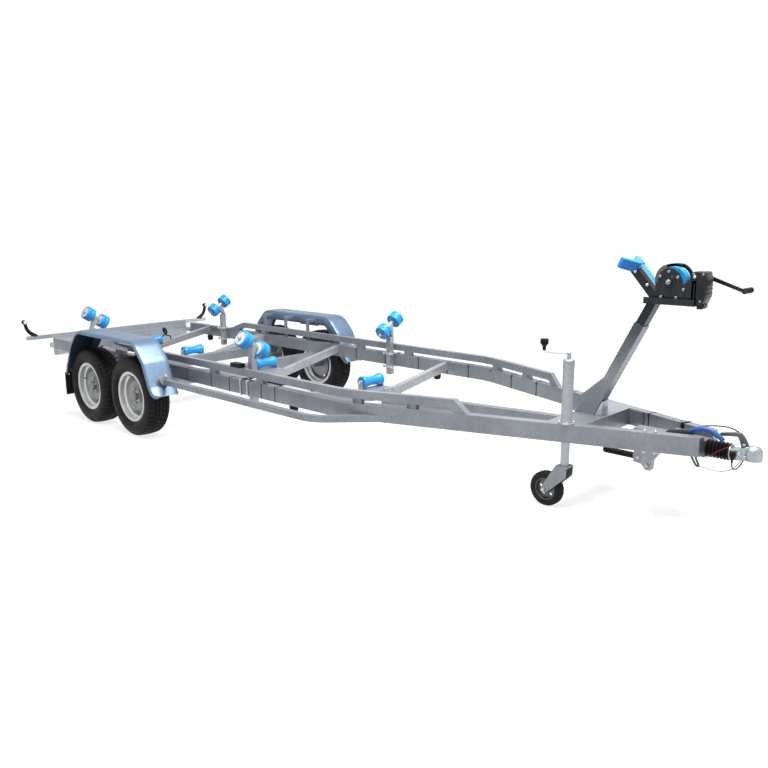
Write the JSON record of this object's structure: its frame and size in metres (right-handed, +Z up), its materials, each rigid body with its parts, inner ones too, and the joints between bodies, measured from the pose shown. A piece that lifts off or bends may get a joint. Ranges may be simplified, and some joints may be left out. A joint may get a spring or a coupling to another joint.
{
  "type": "boat trailer",
  "caption": "Tandem-axle galvanised boat trailer with keel and side rollers, fenders, winch post and jockey wheel.",
  "frame": {"origin": "on the floor, in the middle of the trailer's length and width", "axes": "+X forward to the coupling, +Y to the trailer's left, +Z up"},
  "size_m": [6.3988, 2.2, 1.3874],
  "materials": {
    "galvanised": "hot-dip galvanised, satin",
    "tyre_rubber": "black rubber",
    "wheel_silver": "silver paint",
    "blue_roller": "moulded blue polyurethane",
    "blue_strap": "woven webbing",
    "black_rubber": "matt black rubber",
    "dark_steel": "dark painted steel",
    "blue_grip": "blue plastic grip",
    "red_lens": "red lens",
    "red_cord": "red sheathed wire"
  },
  "bodies": {
    "frame": {"main_beam_left": "galvanised", "main_beam_right": "galvanised", "upper_rails": "galvanised", "guard_tubes": "galvanised", "crossmember_front": "galvanised", "crossmember_middle": "galvanised", "crossmember_axle": "galvanised", "crossmember_rear": "galvanised", "drawbar_crossmember": "galvanised", "spine_beam": "galvanised", "fenders": "galvanised", "fender_straps": "galvanised", "mudflaps": "black_rubber", "axle_front": "galvanised", "axle_rear": "galvanised", "roller_posts": "galvanised", "post_clamps": "galvanised", "keel_brackets": "galvanised", "winch_post": "galvanised", "winch_mast": "dark_steel", "winch_bracket": "dark_steel", "bow_pad": "blue_roller", "winch_housing": "dark_steel", "jockey_tube": "galvanised", "overrun_housing": "galvanised", "coupling_bellows": "black_rubber", "coupling_head": "galvanised", "brake_lever": "blue_grip", "brake_linkage": "galvanised", "light_board": "galvanised", "tail_lamps": "red_lens", "marker_lamps": "black_rubber", "electric_cable": "black_rubber", "electric_plug": "black_rubber", "safety_cable": "galvanised", "breakaway_cable": "red_cord", "cable_hook": "galvanised"},
    "wheel_front_left": {"tyre_front_left": "tyre_rubber", "rim_front_left": "wheel_silver"},
    "wheel_front_right": {"tyre_front_right": "tyre_rubber", "rim_front_right": "wheel_silver"},
    "wheel_rear_left": {"tyre_rear_left": "tyre_rubber", "rim_rear_left": "wheel_silver"},
    "wheel_rear_right": {"tyre_rear_right": "tyre_rubber", "rim_rear_right": "wheel_silver"},
    "keel_roller_front": {"keel_roller_front": "blue_roller"},
    "keel_roller_middle": {"keel_roller_middle": "blue_roller"},
    "keel_roller_axle": {"keel_roller_axle": "blue_roller"},
    "keel_roller_rear": {"keel_roller_rear": "blue_roller"},
    "twin_roller_middle_left": {"twin_roller_middle_left": "blue_roller"},
    "twin_roller_middle_right": {"twin_roller_middle_right": "blue_roller"},
    "twin_roller_rear_left": {"twin_roller_rear_left": "blue_roller"},
    "twin_roller_rear_right": {"twin_roller_rear_right": "blue_roller"},
    "jockey_leg": {"jockey_leg": "galvanised"},
    "jockey_fork": {"jockey_fork": "galvanised"},
    "jockey_wheel": {"jockey_wheel": "black_rubber"},
    "winch_drum": {"winch_drum": "blue_strap"},
    "winch_crank": {"winch_crank": "dark_steel"}
  },
  "joints": [
    {"name": "wheel_front_left_spin", "type": "hinge", "parent": "frame", "child": "wheel_front_left", "pos_m": [-1.13257, 0.9675, 0.3145], "axis": [0, 1, 0], "continuous": true},
    {"name": "wheel_front_right_spin", "type": "hinge", "parent": "frame", "child": "wheel_front_right", "pos_m": [-1.13257, -0.9675, 0.3145], "axis": [0, 1, 0], "continuous": true},
    {"name": "wheel_rear_left_spin", "type": "hinge", "parent": "frame", "child": "wheel_rear_left", "pos_m": [-1.82671, 0.9675, 0.3145], "axis": [0, 1, 0], "continuous": true},
    {"name": "wheel_rear_right_spin", "type": "hinge", "parent": "frame", "child": "wheel_rear_right", "pos_m": [-1.82671, -0.9675, 0.3145], "axis": [0, 1, 0], "continuous": true},
    {"name": "keel_roller_front_spin", "type": "hinge", "parent": "frame", "child": "keel_roller_front", "pos_m": [0.47186, 0, 0.47114], "axis": [0, 1, 0], "continuous": true},
    {"name": "keel_roller_middle_spin", "type": "hinge", "parent": "frame", "child": "keel_roller_middle", "pos_m": [-0.77625, 0, 0.47798], "axis": [0, 1, 0], "continuous": true},
    {"name": "keel_roller_axle_spin", "type": "hinge", "parent": "frame", "child": "keel_roller_axle", "pos_m": [-1.86527, 0, 0.48764], "axis": [0, 1, 0], "continuous": true},
    {"name": "keel_roller_rear_spin", "type": "hinge", "parent": "frame", "child": "keel_roller_rear", "pos_m": [-2.58165, 0, 0.5259], "axis": [0, 1, 0], "continuous": true},
    {"name": "twin_roller_middle_left_spin", "type": "hinge", "parent": "frame", "child": "twin_roller_middle_left", "pos_m": [0.00784, 0.703, 0.77643], "axis": [0.0105, 0.848, 0.5298], "continuous": true},
    {"name": "twin_roller_middle_right_spin", "type": "hinge", "parent": "frame", "child": "twin_roller_middle_right", "pos_m": [0.00784, -0.703, 0.77643], "axis": [0.0105, -0.848, 0.5298], "continuous": true},
    {"name": "twin_roller_rear_left_spin", "type": "hinge", "parent": "frame", "child": "twin_roller_rear_left", "pos_m": [-2.36469, 0.67, 0.82365], "axis": [0.0105, 0.848, 0.5298], "continuous": true},
    {"name": "twin_roller_rear_right_spin", "type": "hinge", "parent": "frame", "child": "twin_roller_rear_right", "pos_m": [-2.36469, -0.67, 0.82365], "axis": [0.0105, -0.848, 0.5298], "continuous": true},
    {"name": "jockey_height", "type": "slide", "parent": "frame", "child": "jockey_leg", "axis": [0.0199, 0, 0.9998], "range_m": [-0.1, 0.115]},
    {"name": "jockey_swivel", "type": "hinge", "parent": "jockey_leg", "child": "jockey_fork", "pos_m": [2.27192, -0.31437, 0.25529], "axis": [0.0199, 0, 0.9998], "continuous": true},
    {"name": "jockey_wheel_spin", "type": "hinge", "parent": "jockey_fork", "child": "jockey_wheel", "pos_m": [2.16381, -0.31437, 0.1], "axis": [0, 1, 0], "continuous": true},
    {"name": "winch_crank_turn", "type": "hinge", "parent": "frame", "child": "winch_crank", "pos_m": [2.83055, 0, 1.28638], "axis": [0, 1, 0], "continuous": true},
    {"name": "winch_drum_turn", "type": "hinge", "parent": "frame", "child": "winch_drum", "pos_m": [2.69996, 0, 1.25797], "axis": [0, 1, 0], "continuous": true}
  ],
  "couplings": [
    {"joint": "winch_drum_turn", "follows": "winch_crank_turn", "ratio": -0.25}
  ]
}
